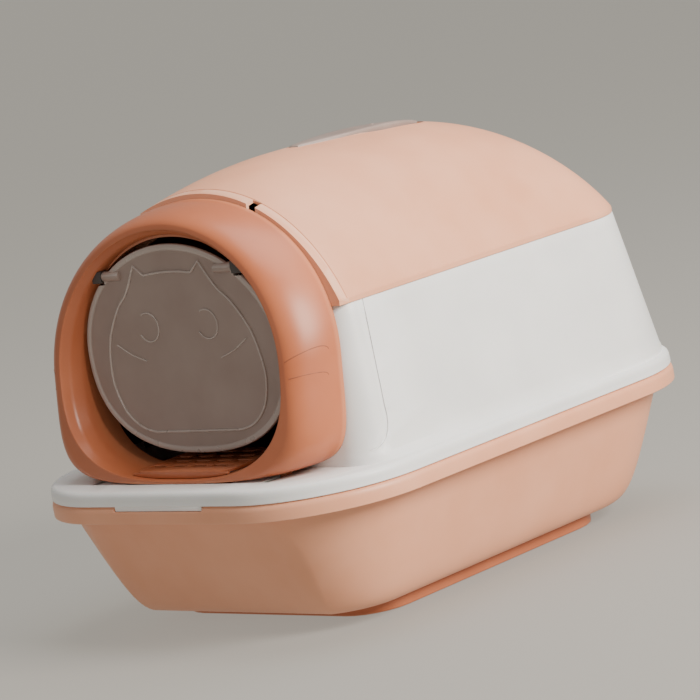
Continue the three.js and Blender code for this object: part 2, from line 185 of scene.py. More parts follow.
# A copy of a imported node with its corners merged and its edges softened.
def refined(node, edge):
    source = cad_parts[node]
    piece = source.copy()
    piece.data = source.data.copy()
    piece.name = node + "_part"
    bpy.context.collection.objects.link(piece)
    pick(piece)
    bpy.ops.object.mode_set(mode="EDIT")
    bpy.ops.mesh.select_all(action="SELECT")
    bpy.ops.mesh.remove_doubles(threshold=1e-6)
    bpy.ops.mesh.dissolve_limited(angle_limit=math.radians(2))
    bpy.ops.object.mode_set(mode="OBJECT")
    softenEdges(piece, edge, angle=40)
    return smooth(piece, 40)


def joined(name, pieces):
    pick(pieces[0])
    for piece in pieces:
        piece.select_set(True)
    bpy.ops.object.join()
    bpy.context.object.name = name
    return bpy.context.object


def dress(piece, body, materials):
    piece.data.materials.clear()
    for material in materials:
        piece.data.materials.append(material)
    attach(piece, body)


def place(piece, node, body, slot, materials):
    dress(piece, body, materials)
    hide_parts(node)


# Faces that pass the test take the piece's second material: painted shade on the insides of the
# shells, the polished rim on the flap.
def useSecondMaterialWhere(piece, takesSecond):
    for polygon in piece.data.polygons:
        if takesSecond(polygon.center / mm, polygon.normal):
            polygon.material_index = 1


def linear(hexColour):
    parts = [int(hexColour[k:k + 2], 16) / 255 for k in (1, 3, 5)]
    return (*[p / 12.92 if p <= 0.04045 else ((p + 0.055) / 1.055) ** 2.4 for p in parts], 1)


def addNode(tree, kind, settings=None, **links):
    node = tree.nodes.new(kind)
    for key, value in (settings or {}).items():
        if isinstance(key, int) or key in node.inputs:
            node.inputs[key].default_value = value
        else:
            setattr(node, key, value)
    for key, source in links.items():
        tree.links.new(source, node.inputs[key.replace("_", " ")])
    return node


# Moulded plastic: a fine spark-eroded grain, slow flow marks in the colour, and a paler tone
# towards convex edges.
def mouldedPlastic(name, finish):
    material = bpy.data.materials.new(name)
    material.use_nodes = True
    tree = material.node_tree
    shader = tree.nodes["Principled BSDF"]
    shader.inputs["IOR"].default_value = finish["ior"]
    shader.inputs["Specular IOR Level"].default_value = finish.get("specular", 0.5)
    shader.inputs["Subsurface Weight"].default_value = finish.get("subsurface", 0)
    shader.inputs["Subsurface Radius"].default_value = finish.get("depth", (0.004, 0.002, 0.001))
    shader.inputs["Transmission Weight"].default_value = finish.get("transmission", 0)
    shader.inputs["Coat Weight"].default_value = finish.get("coat", 0)
    shader.inputs["Coat Roughness"].default_value = 0.3
    where = addNode(tree, "ShaderNodeTexCoord").outputs["Object"]
    flow = addNode(tree, "ShaderNodeTexNoise",
                   {"Scale": 1 / (finish["flowMm"] * mm), "Detail": 3, "Roughness": 0.55},
                   Vector=where)
    grain = addNode(tree, "ShaderNodeTexNoise",
                    {"Scale": 1 / (finish["grainMm"] * mm), "Detail": 2, "Roughness": 0.6},
                    Vector=where)
    speck = addNode(tree, "ShaderNodeTexVoronoi",
                    {"Scale": 1 / (finish["grainMm"] * 2.5 * mm)}, Vector=where)
    tint = addNode(tree, "ShaderNodeValToRGB", Fac=flow.outputs["Fac"])
    tint.color_ramp.elements[0].position = 0.3
    tint.color_ramp.elements[1].position = 0.7
    tint.color_ramp.elements[0].color = linear(finish["deep"])
    tint.color_ramp.elements[1].color = linear(finish["light"])
    geometry = addNode(tree, "ShaderNodeNewGeometry")
    edge = addNode(tree, "ShaderNodeMapRange",
                   {"From Min": 0.52, "From Max": 0.62, "To Min": 0.0, "To Max": 0.55},
                   Value=geometry.outputs["Pointiness"])
    paleEdges = addNode(tree, "ShaderNodeMix", {"data_type": "RGBA"})
    tree.links.new(edge.outputs["Result"], paleEdges.inputs[0])
    tree.links.new(tint.outputs["Color"], paleEdges.inputs[6])
    paleEdges.inputs[7].default_value = linear(finish["edge"])
    rough = addNode(tree, "ShaderNodeMapRange",
                    {"From Min": 0.3, "From Max": 0.7, "To Min": finish["rough"] - 0.05,
                     "To Max": finish["rough"] + 0.06}, Value=flow.outputs["Fac"])
    relief = addNode(tree, "ShaderNodeMath", {"operation": "MULTIPLY_ADD", 1: 0.35})
    tree.links.new(speck.outputs["Distance"], relief.inputs[0])
    tree.links.new(grain.outputs["Fac"], relief.inputs[2])
    bump = addNode(tree, "ShaderNodeBump",
                   {"Strength": finish["bump"], "Distance": finish["reliefMm"] * mm},
                   Height=relief.outputs["Value"])
    tree.links.new(paleEdges.outputs[2], shader.inputs["Base Color"])
    tree.links.new(rough.outputs["Result"], shader.inputs["Roughness"])
    tree.links.new(bump.outputs["Normal"], shader.inputs["Normal"])
    return material


# Polypropylene is satin and lets a little light in, so its shades are soft and its colour warm.
# The real grain is about 0.1 mm; it is drawn at 0.8 mm, as coarse as it needs to be to show.
satin = {"ior": 1.49, "grainMm": 0.8, "flowMm": 70, "bump": 0.1, "reliefMm": 0.08,
         "subsurface": 0.06}
peach = mouldedPlastic("moulded polypropylene peach", {
    **satin, "deep": "#e9a37e", "light": "#f0ae8b", "edge": "#f7c6a8", "rough": 0.44})
# The same peach darkened with painted shade, for the insides of the tray and the hood.
peachPaintedShade = mouldedPlastic("moulded polypropylene peach painted shade", {
    **satin, "deep": "#8d4f38", "light": "#a5614a", "edge": "#b87359", "rough": 0.5})
terracotta = mouldedPlastic("moulded polypropylene terracotta", {
    **satin, "deep": "#b76743", "light": "#c1714c", "edge": "#d68c66", "rough": 0.36})
# The same plastic in the bottom of a fine joint, where hardly any light gets in.
terracottaGrooveShade = mouldedPlastic("moulded polypropylene terracotta painted groove shade", {
    **satin, "deep": "#8a4c31", "light": "#965639", "edge": "#a5664a", "rough": 0.6})
offWhite = mouldedPlastic("moulded polypropylene off-white", {
    **satin, "deep": "#e8e8e6", "light": "#f0f0ee", "edge": "#f8f8f7", "rough": 0.4})
# A taupe tone darkened with painted shade, for the insides of the middle shell's walls.
taupeWithPaintedShade = mouldedPlastic("moulded polypropylene taupe inside with painted shade", {
    **satin, "deep": "#4e3c34", "light": "#5c483f", "edge": "#6b554a", "rough": 0.5})
# SAN with a frosted finish: clear plastic with a smoke tint, so what lies behind it shows dimly.
smoky = mouldedPlastic("frosted smoky SAN", {
    "ior": 1.57, "grainMm": 0.9, "flowMm": 45, "bump": 0.12, "reliefMm": 0.06, "rough": 0.34,
    "deep": "#b79e92", "light": "#c2aba0", "edge": "#d3c3ba", "transmission": 0.4})
smokyLine = mouldedPlastic("polished smoky SAN", {
    "ior": 1.57, "grainMm": 0.9, "flowMm": 45, "bump": 0.05, "reliefMm": 0.05, "rough": 0.25,
    "deep": "#cbbab0", "light": "#d4c5bc", "edge": "#e0d5ce", "transmission": 0.3})
# Glass-filled nylon: near black, dull, with a slightly mottled skin.
nylon = mouldedPlastic("glass-filled nylon", {
    "ior": 1.53, "grainMm": 0.7, "flowMm": 6, "bump": 0.2, "reliefMm": 0.08, "rough": 0.5,
    "deep": "#2b2624", "light": "#3a3330", "edge": "#5a514c"})
print("materials made")

outlineSteps = {"corner": 16, "straight": 10}


# A rounded rectangle, anticlockwise from its front right corner. A crease turns the front into
# a flat panel that meets the corners at an angle.
def roundedLine(shape, z, inset=0.0, crease=0.0):
    front, back = shape["front"] + inset, shape["back"] - inset
    frontHalf = shape.get("frontHalf", shape.get("half")) - inset
    backHalf = shape.get("backHalf", shape.get("half")) - inset
    frontR = max(shape["frontR"] - inset, 1)
    backR = max(shape["backR"] - inset, 1)
    corners = [
        (frontHalf - frontR, front + frontR, frontR, crease - 90, 0),
        (backHalf - backR, back - backR, backR, 0, 90),
        (backR - backHalf, back - backR, backR, 90, 180),
        (frontR - frontHalf, front + frontR, frontR, 180, 270 - crease),
    ]
    arcs = [
        [(x + r * math.cos(a), y + r * math.sin(a))
         for a in np.radians(np.linspace(start, end, outlineSteps["corner"] + 1))]
        for x, y, r, start, end in corners
    ]
    line = []
    for k, arc in enumerate(arcs):
        (x0, y0), (x1, y1) = arc[-1], arcs[(k + 1) % 4][0]
        line += arc
        line += [(mix(x0, x1, t), mix(y0, y1, t))
                 for t in np.linspace(0, 1, outlineSteps["straight"] + 2)[1:-1]]
    return [(x, y, z) for x, y in line]


outlineCount = 4 * (outlineSteps["corner"] + 1 + outlineSteps["straight"])


def pole(x, y, z):
    return [(x, y, z)] * outlineCount


def between(low, high, t):
    return {key: mix(low[key], high[key], t) for key in low}


# The tray is a basin that widens from a small foot to a rolled rim.
trayLow, trayHigh = boxOf("litter_tray")
rimZ = trayHigh[2]
tray = {
    "rim": {"half": trayHigh[0], "front": trayLow[1], "back": trayHigh[1],
            "frontR": 109, "backR": 109},
    "foot": {"half": 126, "front": -180, "back": 185, "frontR": 42, "backR": 60},
    "lipWidth": 13, "wall": 3, "footZ": trayLow[2], "crease": 24,
    "notchHalf": 54, "notchDepth": 4,
}


def makeTray():
    lip, wall, rim = tray["lipWidth"], tray["wall"], tray["rim"]
    top = {"half": rim["half"] - lip, "front": rim["front"] + lip, "back": rim["back"] - lip,
           "frontR": 96, "backR": 96}
    lipUnder = rimZ - 5

    # The wall sweeps out of the floor in a long curve and then rises nearly straight.
    def wallRow(t, inset, lift):
        rise = 0.715 * ((1 + (t / 0.42) ** 4) ** 0.25 - 1)
        z = mix(tray["footZ"], lipUnder, rise) + lift * (1 - rise)
        crease = tray["crease"] * (1 - t ** 8)
        return roundedLine(between(tray["foot"], top, t), z, inset, crease)

    spread = np.linspace(0, 1, 22)
    floorRow = roundedLine(tray["foot"], tray["footZ"], 20)
    outside = [pole(0, 0, tray["footZ"]), floorRow] + [wallRow(t, 0, 0) for t in spread]
    rolled = [(3.2, -5), (1.6, -12.5), (1.2, -14), (0.6, -14.6), (0.1, -14), (0, -12.6), (0, -9),
              (0, -5.5), (0.25, -3.8), (0.9, -2.2), (1.9, -1.0), (3.2, -0.35), (5, -0.05),
              (lip - 4, -0.05), (lip - 2.2, -0.3), (lip - 0.6, -1.1), (lip + 1, -2.6),
              (lip + 2, -5)]
    rolled = [roundedLine(rim, rimZ + dz, inset) for inset, dz in rolled]
    inside = [wallRow(t, wall, wall) for t in spread[::-1]]
    piece = skin("litter_tray_shell", outside + rolled + inside
                 + [pole(0, 0, tray["footZ"] + wall)])
    notch = block("notch", (-tray["notchHalf"], rim["front"] - 5, rimZ - tray["notchDepth"]),
                  (tray["notchHalf"], rim["front"] + lip + wall + 1, rimZ + 5), 1.5)
    combine(piece, [notch])
    softenEdges(piece, 0.5, 40)
    smooth(piece, 32)
    place(piece, "litter_tray", "tray", "peach_shell", [peach, peachPaintedShade])

    # Faces inside the basin take the peach with painted shade.
    def inPaintedShade(centre, normal):
        inwards = normal.x * centre.x + normal.y * centre.y < 0
        return centre.z < rimZ - 4 and (inwards or normal.z > 0.7) and (
            abs(centre.x) < top["half"] - 1 and abs(centre.y) < top["back"] - 1)
    useSecondMaterialWhere(piece, inPaintedShade)


makeTray()
print("tray made")

plate = {"edge": 0.9}
place(refined("base_plate", plate["edge"]), "base_plate", "tray", "terracotta_shell",
      [terracotta])
print("base plate made")

# The middle shell has white walls and a low deck in front.
shellLow, shellHigh = boxOf("middle_shell")
hoodLow, hoodHigh = boxOf("hood")
faceY = hoodLow[1]
seamZ = shellHigh[2]
lean = 0.15


def leanAt(z):
    return lean * (z - seamZ)


shell = {
    "foot": {"half": shellHigh[0], "front": shellLow[1], "back": shellHigh[1],
             "frontR": 108, "backR": 108},
    "deckZ": rimZ + 12.5, "footZ": rimZ + gap, "skirt": 8, "skirtInset": 19, "wall": 3,
    "rimWidth": 8, "bore": 131, "boreZ": 212, "chuteHalf": 70, "chuteY": (-236, -190),
    "chuteDrop": 16, "pegX": 104, "pegY": -205, "pegHalf": 3.5, "travel": 22,
    "grooveY": -152, "grooveWidth": 1.5,
}
seamShape = {"frontHalf": 163, "backHalf": 168, "front": faceY, "back": hoodHigh[1],
             "frontR": 20, "backR": 70}
deckZ = shell["deckZ"]
lowWall = {"frontHalf": 184, "backHalf": 192, "front": faceY + leanAt(deckZ), "back": 255,
           "frontR": 30, "backR": 102}
shelf = {"frontHalf": 193.5, "backHalf": 193.5, "front": faceY + leanAt(deckZ), "back": 254.3,
         "frontR": 40, "backR": 103}


def wallLine(z, inset):
    return roundedLine(between(lowWall, seamShape, (z - deckZ) / (seamZ - deckZ)), z, inset)


# The walls' outside pulled in by a little, as a solid: what a groove's cutter stops at.
def wallCore(inset):
    heights = np.linspace(deckZ + 3, seamZ + 5, 8)
    rows = [wallLine(z, inset) for z in heights]
    return skin("core", [pole(0, 0, heights[0])] + rows + [pole(0, 0, heights[-1])])


def makeShell():
    foot, wall, skirt = shell["foot"], shell["wall"], shell["skirtInset"]
    footZ, under = shell["footZ"], shell["footZ"] - shell["skirt"]
    heights = np.linspace(deckZ + 7, seamZ - 1.2, 16)
    edge = [(0.5, footZ), (0, footZ + 0.6), (0, footZ + 5), (0.3, deckZ - 4), (1.1, deckZ - 2),
            (2.4, deckZ - 0.7), (4.5, deckZ)]
    blend = [roundedLine(between(shelf, lowWall, t), deckZ + 7 * t * t, 0.0)
             for t in (0, 0.35, 0.7)]
    rows = (
        [roundedLine(foot, under, skirt + wall), roundedLine(foot, under, skirt),
         roundedLine(foot, footZ, skirt - 1)]
        + [roundedLine(foot, z, inset) for inset, z in edge]
        + blend
        + [wallLine(z, 0) for z in heights]
        + [wallLine(seamZ - 0.3, 0.35), wallLine(seamZ, 1.3), wallLine(seamZ, 7),
           wallLine(seamZ - 0.6, shell["rimWidth"]), wallLine(seamZ - 3.4, shell["rimWidth"]),
           wallLine(seamZ - 6, wall)]
        + [wallLine(z, wall) for z in (seamZ - 20, mix(deckZ, seamZ, 0.4), deckZ + 5)]
        + [roundedLine(shelf, deckZ - wall, wall + 1),
           roundedLine(foot, deckZ - wall, skirt - wall), roundedLine(foot, footZ, skirt + wall)]
    )
    piece = skin("middle_shell_walls", rows, loop=True)

    bore = bar("bore", shell["bore"], (0, faceY - 60, shell["boreZ"]),
               (0, faceY + 30, shell["boreZ"]), 160)
    below = block("below", (-300, -400, 0), (300, 0, deckZ + 1))
    combine(bore, [below])
    half, (y0, y1) = shell["chuteHalf"] - 4, shell["chuteY"]
    litterHole = block("litterHole", (-half, y0 + 4, 120), (half, y1 - 4, deckZ + 1), 3)
    cutters = [bore, litterHole]
    reach = shell["pegHalf"] + 0.6
    for side in (-1, 1):
        x = side * shell["pegX"]
        cutters.append(block("pegSlot", (x - reach, shell["pegY"] - shell["travel"] - reach, 120),
                             (x + reach, shell["pegY"] + reach, deckZ + 1), 1))
    combine(piece, cutters)

    # A shallow joint line runs down each side behind the ring and turns forward on the foot.
    y = shell["grooveY"]
    down = [(y + 14 + leanAt(z), z) for z in np.linspace(seamZ + 4, deckZ + 42, 8)]
    turn = [(down[-1][0] - 26 * (1 - math.cos(a)), deckZ + 42 - 32 * math.sin(a))
            for a in np.radians(np.linspace(12, 84, 7))]
    ribbon = [[(x, yy, z) for x in (-230, 230)] for yy, z in down + turn]
    cutter = skin("groove", ribbon, around=False)
    finishWith(cutter, "SOLIDIFY", thickness=shell["grooveWidth"] * mm, offset=0)
    combine(cutter, [wallCore(1.1)])
    combine(piece, [fixNormals(cutter)])

    # The chute is a half-round trough under the holes of the step.
    trough = []
    for yy in np.linspace(y0, y1, 4):
        arc = np.radians(np.linspace(180, 360, 33))
        outer = [(shell["chuteHalf"] * math.cos(a), yy,
                  deckZ - wall + 0.5 + shell["chuteDrop"] * math.sin(a)) for a in arc]
        inner = [((shell["chuteHalf"] - wall) * math.cos(a), yy,
                  deckZ - wall + 0.5 + (shell["chuteDrop"] - wall) * math.sin(a))
                 for a in arc[::-1]]
        trough.append(outer + inner)
    chute = skin("chute", trough)
    pick(chute)
    bpy.ops.object.mode_set(mode="EDIT")
    bpy.ops.mesh.select_all(action="SELECT")
    bpy.ops.mesh.fill_holes(sides=0)
    bpy.ops.mesh.normals_make_consistent(inside=False)
    bpy.ops.object.mode_set(mode="OBJECT")
    tab = block("tab", (-tray["notchHalf"] + 1, foot["front"] + 0.5, rimZ - 3.7),
                (tray["notchHalf"] - 1, foot["front"] + 5, deckZ - wall), 0.6)
    combine(piece, [chute, tab], "UNION")
    softenEdges(piece, 0.45, 50)
    smooth(piece, 35)
    place(piece, "middle_shell", "shell", "white_shell", [offWhite, taupeWithPaintedShade])

    # Inner faces of the walls take the taupe with painted shade.
    def inPaintedShade(centre, normal):
        t = (centre.z - deckZ) / (seamZ - deckZ)
        here = between(lowWall, seamShape, min(max(t, 0), 1))
        inset = min(here["back"] - centre.y, here["backHalf"] - abs(centre.x),
                    centre.y - faceY - leanAt(centre.z))
        towards = normal.x * centre.x + normal.y * (centre.y - 20)
        turnedIn = towards < 0 and normal.z > -0.7
        return deckZ - 1 < centre.z < seamZ - 4 and inset > 1.6 and turnedIn
    useSecondMaterialWhere(piece, inPaintedShade)


makeShell()
print("middle shell made")

ringDepth = 48
ring = {
    "opening": {"half": 134, "top": 118, "bottom": 89.5, "centreZ": 230, "power": 2.8},
    "tunnel": {"half": 126, "top": 113, "bottom": 86.5, "centreZ": 227, "power": 2.8},
    "outer": {"half": 160, "top": 133, "bottom": 93.2, "centreZ": 231, "power": 6},
    "steps": 144, "edge": 2.6, "wall": 3, "frontY": faceY - ringDepth, "whisker": 0.7,
    "whiskerLift": -0.57,
}
flapLow, flapHigh = boxOf("door_flap")
pinBox = boxOf("hinge_pin_right")
pinY = (pinBox[0][1] + pinBox[1][1]) / 2
pinZ = (pinBox[0][2] + pinBox[1][2]) / 2


def doorPoint(shape, angle, depth, grow):
    cos, sin = math.cos(angle), math.sin(angle)
    power = 2 / (shape["power"] if sin < -1e-9 else 2)
    tall = shape["bottom"] if sin < 0 else shape["top"]
    x = (shape["half"] + grow) * math.copysign(abs(cos) ** power, cos)
    z = shape["centreZ"] + (tall + grow) * math.copysign(abs(sin) ** power, sin)
    return x, ring["frontY"] + leanAt(z) + depth, z


def doorLine(shape, depth, grow=0.0, limit=None):
    line = []
    for k in range(ring["steps"]):
        x, y, z = doorPoint(shape, 2 * math.pi * k / ring["steps"], depth, grow)
        line.append((x, min(y, limit(z)) if limit else y, z))
    return line


# The swell from the front edge back to the entrance face follows a quarter of an ellipse, and
# its lower corners turn square close behind the front edge.
def swellAt(phi, grow=0.0, setBack=0.0):
    t = math.sin(phi)
    shape = between(ring["opening"], ring["outer"], t)
    shape["power"] = mix(ring["opening"]["power"], ring["outer"]["power"], math.sqrt(t))
    return shape, ringDepth * (1 - math.cos(phi)) + setBack, ring["edge"] * (1 - t) + grow


# Above the flap's shoulders the inner wall stops at the pins.
def backLimit(z):
    t = min(max((z - (pinZ - 56)) / 12, 0), 1)
    return mix(0, pinY + 4 - faceY, t * t * (3 - 2 * t)) + mix(leanAt(z) + faceY, faceY, t)


def makeRing():
    wall, edge = ring["wall"], ring["edge"]
    outside = [doorLine(*swellAt(phi, 0, -gap * math.sin(phi)))
               for phi in np.radians(np.linspace(6, 90, 24))]
    inner = between(ring["opening"], ring["tunnel"], 0.6)
    front = [(ring["opening"], 0.9, 0), (ring["opening"], 0.25, 0.35), (ring["opening"], 0, 1),
             (ring["opening"], 0, edge - 1.2), (ring["opening"], 0.2, edge - 0.4)]
    hollow = [doorLine(*swellAt(phi, -wall, 0)) for phi in np.radians(np.linspace(90, 60, 7))]
    throat = [doorLine(ring["tunnel"], 22, wall),
              doorLine(ring["tunnel"], 34, wall, backLimit),
              doorLine(ring["tunnel"], ringDepth - gap, wall, backLimit),
              doorLine(ring["tunnel"], ringDepth - gap, 0, backLimit),
              doorLine(ring["tunnel"], 34, 0, backLimit)]
    passage = [doorLine(between(inner, ring["tunnel"], t), mix(7, 20, t), 0)
               for t in (1, 0.8, 0.6, 0.4, 0.2, 0)]
    mouth = [doorLine(between(ring["opening"], inner, t), mix(0.9, 7, t), 0)
             for t in (0.75, 0.5, 0.25)]
    rows = [doorLine(*row) for row in front] + outside + hollow + throat + passage + mouth
    piece = skin("entrance_ring_shell", rows, loop=True)

    window = block("window", (-52, -218, 120), (52, -140, 145.5), 1)
    combine(piece, [window], folds=True)
    pegs = []
    for side in (-1, 1):
        x, reach = side * shell["pegX"], shell["pegHalf"]
        pegs.append(block("peg", (x - reach, shell["pegY"] - reach, deckZ - 6),
                          (x + reach, shell["pegY"] + reach, deckZ + 10), 0.6))
    combine(piece, pegs, "UNION", folds=True)
    softenEdges(piece, 0.35, 55)
    smooth(piece, 35)
    place(piece, "entrance_ring", "ring", "terracotta_shell", [terracotta])


# A place on the swell at a height, found from the outline's own formula.
def swellPoint(phi, z, lift):
    shape, depth, grow = swellAt(phi, lift)
    tall = (shape["top"] if z > shape["centreZ"] else shape["bottom"]) + grow
    power = 2 if z > shape["centreZ"] else shape["power"]
    x = (shape["half"] + grow) * (1 - (abs(z - shape["centreZ"]) / tall) ** power) ** (1 / power)
    return x, ring["frontY"] + leanAt(z) + depth, z


# Two whisker-like lines on each side, each ending in a small hook: thin dark strips let into the
# surface, painted shade standing for the shade in the bottom of fine grooves.
def makeWhiskers():
    strokes = [[(13, 233.8), (26, 236.3), (39, 238.3), (52, 239.8), (62, 240.2), (69, 239.4),
                (73, 237.6), (74, 235.8)],
               [(17, 219.9), (30, 220.4), (45, 220.5), (58, 219.9), (66, 218.9), (70, 217.4),
                (71, 215.8)]]
    strips = []
    for stroke in strokes:
        for side in (-1, 1):
            path = [swellPoint(math.radians(phi), z, ring["whiskerLift"]) for phi, z in stroke]
            path = [(side * x, y, z) for x, y, z in path]
            strips.append(bead("whisker", rounded(path, 7), ring["whisker"]))
    piece = joined("entrance_ring_whiskers", strips)
    smooth(piece, 60)
    dress(piece, "ring", [terracottaGrooveShade])


makeRing()
makeWhiskers()
print("entrance ring made")

place(refined("step_grille", 0.6), "step_grille", "ring", "terracotta_shell", [terracotta])
for side in ("left", "right"):
    bracket = "pin_bracket_" + side
    place(refined(bracket, 0.7), bracket, "ring", "dark_fittings", [nylon])
    pin = "hinge_pin_" + side
    place(refined(pin, 0.4), pin, "flap", "dark_fittings", [nylon])
print("step and hinges made")

flap = {
    "half": flapHigh[0], "centreZ": pinZ - 72, "top": 96, "bottom": 84, "power": 2.38,
    "thick": 4, "y": pinY, "steps": 128, "rim": 4.6, "sleeve": 4.5, "sleeveX": (58, 79.2),
    "bore": 2.5, "line": 1.15,
}


def flapLine(inset, y):
    line = []
    for k in range(flap["steps"]):
        x, _, z = doorPoint(flap, 2 * math.pi * k / flap["steps"], 0, -inset)
        line.append((x, y, z))
    return line


def makeFlap():
    front, back = flap["y"] - flap["thick"] / 2, flap["y"] + flap["thick"] / 2
    rim = flap["rim"]
    dish = 0.7  # the field lies this much behind the rim on the front
    rows = [
        [(0, front + dish, flap["centreZ"])] * flap["steps"],
        flapLine(40, front + dish), flapLine(rim + 2, front + dish),
        flapLine(rim + 0.6, front + 0.5),
        flapLine(rim, front + 0.1), flapLine(1.4, front), flapLine(0.5, front + 0.35),
        flapLine(0, front + 1.3), flapLine(0, back - 1.3), flapLine(0.5, back - 0.35),
        flapLine(1.4, back), flapLine(40, back), [(0, back, flap["centreZ"])] * flap["steps"],
    ]
    piece = skin("door_flap_plate", rows)
    near, far = flap["sleeveX"]
    for side in (-1, 1):
        clearance = bar("clearance", 7.5, (side * far, pinY, pinZ), (side * (far + 21), pinY, pinZ))
        combine(piece, [clearance])
        sleeve = bar("sleeve", flap["sleeve"], (side * near, pinY, pinZ), (side * far, pinY, pinZ))
        softenEdges(sleeve, 0.5)
        combine(piece, [sleeve], "UNION")
        bore = bar("bore", flap["bore"], (side * (near + 5), pinY, pinZ),
                   (side * (far + 1), pinY, pinZ), 32)
        combine(piece, [bore])
    smooth(piece, 35)
    place(piece, "door_flap", "flap", "smoky_plastic", [smoky, smokyLine])

    def onRim(centre, normal):
        up, inset = centre.z - flap["centreZ"], flap["rim"] + 0.4
        tall = (flap["top"] if up > 0 else flap["bottom"]) - inset
        power = 2 if up > 0 else flap["power"]
        across = abs(centre.x) / (flap["half"] - inset)
        return across ** power + (abs(up) / tall) ** power > 1
    useSecondMaterialWhere(piece, onRim)


# A plain cat-head outline, two round eyes and a stroke on each cheek, moulded on the flap.
def makeFlapLines():
    y = pinY - flap["thick"] / 2 + 0.55
    # From the middle of the brow to the tip of the ear, then round the cheek to the chin.
    brow = [Vector((x, y, pinZ + z)) for x, z in ((0, 0.5), (15, 0), (29, -1.5))]
    cheek = [Vector((x, y, pinZ + z)) for x, z in (
        (40, 7.5), (55, -15), (70, -29), (86, -53), (93, -81), (92, -100), (84, -119),
        (69, -132), (52, -137))]
    right = brow + rounded(cheek, 7)
    left = [Vector((-p.x, p.y, p.z)) for p in right[::-1]]
    lines = [bead("headLine", right + left[:-1], flap["line"], closed=True)]
    for side in (-1, 1):
        eye = [(side * 36 + 12.5 * math.cos(a), y - 0.1, pinZ - 46 + 12.5 * math.sin(a))
               for a in np.radians(np.linspace(118, -150, 30))]
        lines.append(bead("eyeLine", eye, 0.75))
        stroke = rounded([(side * 79, y - 0.1, pinZ - 60), (side * 63, y - 0.1, pinZ - 69),
                          (side * 46, y - 0.1, pinZ - 75)], 6)
        lines.append(bead("cheekLine", stroke, 0.75))
    piece = joined("door_flap_lines", lines)
    smooth(piece, 60)
    dress(piece, "flap", [smokyLine])


makeFlap()
makeFlapLines()
print("flap made")

hoodZ = seamZ + gap
hood = {
    "rise": hoodHigh[2] - hoodZ, "frontRise": 97, "crownY": -30, "lip": 4, "wall": 3,
    "archHalfAngle": math.radians(62), "across": 72, "along": 64, "bore": 131, "boreZ": 212,
    "flangeDepth": 10.6, "tabs": (-100, 10, 120), "tabHalf": 6, "tabDrop": 7,
    "pocketZ": 352, "pocketY": (38, 130), "pocketGrow": 10, "handlePlay": 1.2,
    "pocketZone": (36, 90, 8), "hooks": (35, 90, 145), "hookReach": (129.3, 134),
    "hookHalf": 6, "hookDepth": (2, 8.5),
}
handleLow, handleHigh = boxOf("carry_handle")
handle = {"y": (handleLow[1], handleHigh[1]), "half": handleHigh[0], "tip": 6, "thick": 9,
          "proud": 1.8, "bumps": ((34, 2.85), (82, 2.2)), "bumpRadius": 3}


def riseAt(y):
    crownY, rise = hood["crownY"], hood["rise"]
    if y < crownY:
        return rise - (rise - hood["frontRise"]) * ((crownY - y) / (crownY - faceY)) ** 2
    t = min((y - crownY) / (seamShape["back"] - crownY), 1)
    return rise * (1 - t ** 4.4) ** 0.52


def halfAt(y):
    cornerY = seamShape["back"] - seamShape["backR"]
    straight = mix(seamShape["frontHalf"], seamShape["backHalf"], (y - faceY) / (cornerY - faceY))
    if y < cornerY:
        return straight
    turn = math.sqrt(max(seamShape["backR"] ** 2 - (y - cornerY) ** 2, 0))
    return seamShape["backHalf"] - seamShape["backR"] + turn


# A point of the dome: u runs from -1 to 1 across, y along, inset shrinks it.
def domePoint(u, y, inset=0.0):
    half = hood["archHalfAngle"]
    cos, sin = math.cos(half), math.sin(half)
    x = math.sin(u * half) / sin * (halfAt(y) - inset)
    up = (math.cos(u * half) - cos) / (1 - cos)
    lift = max(riseAt(y) - hood["lip"] - inset, 0)
    return x, y - (inset if y > 0 else 0), hoodZ + hood["lip"] + up * lift


def domeRow(y, inset, lower):
    us = np.linspace(-1, 1, hood["across"] + 1)
    row = [domePoint(u, y, inset) for u in us]
    first, last = row[0], row[-1]
    return [(first[0], first[1], lower)] + row + [(last[0], last[1], lower)]


# The dome as a solid, shrunk by inset and standing on the height lower.
def domeSolid(name, inset, lower, frontY):
    back = seamShape["back"]
    ys = [back - (back - frontY) * (1 - math.cos(t)) for t in
          np.linspace(0, math.pi / 2, hood["along"])]
    rows = [domeRow(y, inset, lower) for y in ys]
    closing = [[(mix(row[0][0], row[-1][0], k / (len(row) - 1)), row[0][1], lower)
                for k in range(len(row))] for row in (rows[0], rows[-1])]
    under = [[(mix(row[0][0], row[-1][0], k / (len(row) - 1)), row[0][1], lower)
              for k in range(len(row))] for row in rows[::-1]]
    return skin(name, [closing[0]] + rows + [closing[1]] + under, around=False)


def leaningBlock(name, y0, y1):
    piece = block(name, (-300, y0, 0), (300, y1, 500))
    for vertex in piece.data.vertices:
        vertex.co.y += leanAt(vertex.co.z / mm) * mm
    return piece


# The leaf outline of the handle and its recess, grown by a margin.
def leafLine(grow, steps=20):
    tip = handle["tip"] + grow
    bulge = 2 * (handle["half"] + grow) - tip
    y0, y1 = handle["y"][0] - grow, handle["y"][1] + grow
    middle = (y0 + y1) / 2
    side = []
    for t in np.linspace(0, 1, steps + 1):
        x = tip * (1 - t) ** 2 + bulge * 2 * t * (1 - t) + tip * t * t
        side.append((x, y0 * (1 - t) ** 2 + middle * 2 * t * (1 - t) + y1 * t * t))
    return side + [(-x, y) for x, y in side[::-1]]


# A leaf-shaped solid between two heights above the hood's crown line.
def leafSolid(name, grow, low, high):
    def height(y, z):
        return hoodZ + riseAt(y) + z
    line = leafLine(grow)
    middle = (handle["y"][0] + handle["y"][1]) / 2
    rows = [[(0, mix(middle, y, 0.9), height(mix(middle, y, 0.9), low)) for _, y in line],
            [(x, y, height(y, low)) for x, y in line], [(x, y, height(y, high)) for x, y in line],
            [(0, mix(middle, y, 0.9), height(mix(middle, y, 0.9), high)) for _, y in line]]
    return skin(name, rows)


